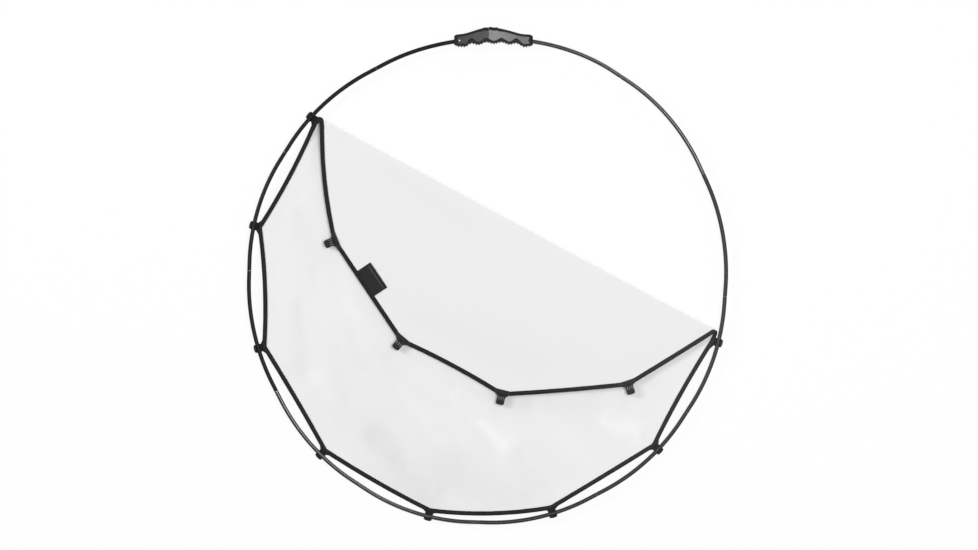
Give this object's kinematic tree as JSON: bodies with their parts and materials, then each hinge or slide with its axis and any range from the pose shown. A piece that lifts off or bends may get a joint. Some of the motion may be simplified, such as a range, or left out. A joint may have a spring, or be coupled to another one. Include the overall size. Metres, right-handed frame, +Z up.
{
  "type": "collapsible reflector disc",
  "caption": "Round photo reflector: shock-corded hoop of curved tubes with a hand grip, and a white fabric panel clipped on and partly folded back.",
  "frame": {"origin": "centre of the footprint, on the surface that the back of the hand grip lies on", "axes": "+Z up from the disc's plane, out of the side that the flap is folded over; +Y towards the hand grip"},
  "size_m": [0.8124, 0.8401, 0.022],
  "materials": {
    "tube_black": "glossy black anodised",
    "ferrule_metal": "plain drawn",
    "cord_black": "braided elastic",
    "anchor_plastic": "moulded",
    "grip_plastic": "soft sheen, fine grain",
    "grip_rubber": "ribbed, matt",
    "steel": "plated",
    "white_fabric": "fine translucent weave",
    "elastic": "woven elastic tape",
    "clip_plastic": "moulded",
    "label_black": "woven tab, bare"
  },
  "bodies": {
    "frame_base": {"cord_base": "cord_black", "ferrule_01": "ferrule_metal", "ferrule_02": "ferrule_metal", "ferrule_03": "ferrule_metal", "ferrule_04": "ferrule_metal", "ferrule_05": "ferrule_metal", "ferrule_06": "ferrule_metal", "ferrule_07": "ferrule_metal", "ferrule_08": "ferrule_metal", "ferrule_09": "ferrule_metal", "tube_02": "tube_black", "tube_03": "tube_black", "tube_04": "tube_black", "tube_05": "tube_black", "tube_06": "tube_black", "tube_07": "tube_black", "tube_08": "tube_black", "tube_09": "tube_black"},
    "left_arm": {"cord_anchor_left": "anchor_plastic", "cord_left": "cord_black", "finger_strip_left": "grip_rubber", "grip_left_half": "grip_plastic", "grub_screw_left": "steel", "tube_01": "tube_black"},
    "right_arm_1": {"cord_right_1": "cord_black", "ferrule_10": "ferrule_metal", "tube_10": "tube_black"},
    "right_arm_2": {"cord_right_2": "cord_black", "ferrule_11": "ferrule_metal", "tube_11": "tube_black"},
    "right_arm_3": {"cord_anchor_right": "anchor_plastic", "cord_right_3": "cord_black", "finger_strip_right": "grip_rubber", "grip_right_half": "grip_plastic", "grub_screw_right": "steel", "tube_12": "tube_black"},
    "panel": {"clip_01": "clip_plastic", "clip_02": "clip_plastic", "clip_03": "clip_plastic", "clip_04": "clip_plastic", "clip_05": "clip_plastic", "clip_06": "clip_plastic", "clip_07": "clip_plastic", "clip_08": "clip_plastic", "fabric_fold": "white_fabric", "panel_binding": "elastic", "panel_fabric": "white_fabric"},
    "flap": {"flap_binding": "elastic", "flap_fabric": "white_fabric", "woven_label": "label_black"},
    "hanging_clip_1": {"flap_clip_1": "clip_plastic"},
    "hanging_clip_2": {"flap_clip_2": "clip_plastic"},
    "hanging_clip_3": {"flap_clip_3": "clip_plastic"},
    "hanging_clip_4": {"flap_clip_4": "clip_plastic"}
  },
  "joints": [
    {"name": "left_arm_swivel", "type": "hinge", "parent": "frame_base", "child": "left_arm", "pos_m": [-0.18807, 0.35066, 0.011], "axis": [-0.8839, -0.4676, 0], "range_deg": [0, 180]},
    {"name": "right_arm_swivel_1", "type": "hinge", "parent": "frame_base", "child": "right_arm_1", "pos_m": [0.40025, -0.03479, 0.011], "axis": [-0.0725, -0.9974, 0], "range_deg": [0, 180]},
    {"name": "right_arm_swivel_2", "type": "hinge", "parent": "right_arm_1", "child": "right_arm_2", "pos_m": [0.36365, 0.17213, 0.011], "axis": [0.413, -0.9107, 0], "range_deg": [0, 180]},
    {"name": "right_arm_swivel_3", "type": "hinge", "parent": "right_arm_2", "child": "right_arm_3", "pos_m": [0.2247, 0.33678, 0.011], "axis": [0.8334, -0.5527, 0], "range_deg": [0, 180]},
    {"name": "panel_unclip", "type": "slide", "parent": "frame_base", "child": "panel", "axis": [0, 0, -1], "range_m": [0, 0.06]},
    {"name": "flap_fold", "type": "hinge", "parent": "panel", "child": "flap", "pos_m": [0.04949, 0.08637, 0.0114], "axis": [-0.8812, 0.4728, 0], "range_deg": [0, 175]},
    {"name": "hanging_clip_pivot_1", "type": "hinge", "parent": "flap", "child": "hanging_clip_1", "pos_m": [-0.25654, 0.05995, 0.0166], "axis": [-0.3775, 0.926, 0], "range_deg": [0, 120]},
    {"name": "hanging_clip_pivot_2", "type": "hinge", "parent": "flap", "child": "hanging_clip_2", "pos_m": [-0.1443, -0.1073, 0.0166], "axis": [-0.7596, 0.6504, 0], "range_deg": [0, 120]},
    {"name": "hanging_clip_pivot_3", "type": "hinge", "parent": "flap", "child": "hanging_clip_3", "pos_m": [0.02436, -0.19754, 0.0166], "axis": [-0.9706, 0.2407, 0], "range_deg": [0, 120]},
    {"name": "hanging_clip_pivot_4", "type": "hinge", "parent": "flap", "child": "hanging_clip_4", "pos_m": [0.23616, -0.18035, 0.0166], "axis": [-0.9482, -0.3177, 0], "range_deg": [0, 120]}
  ]
}
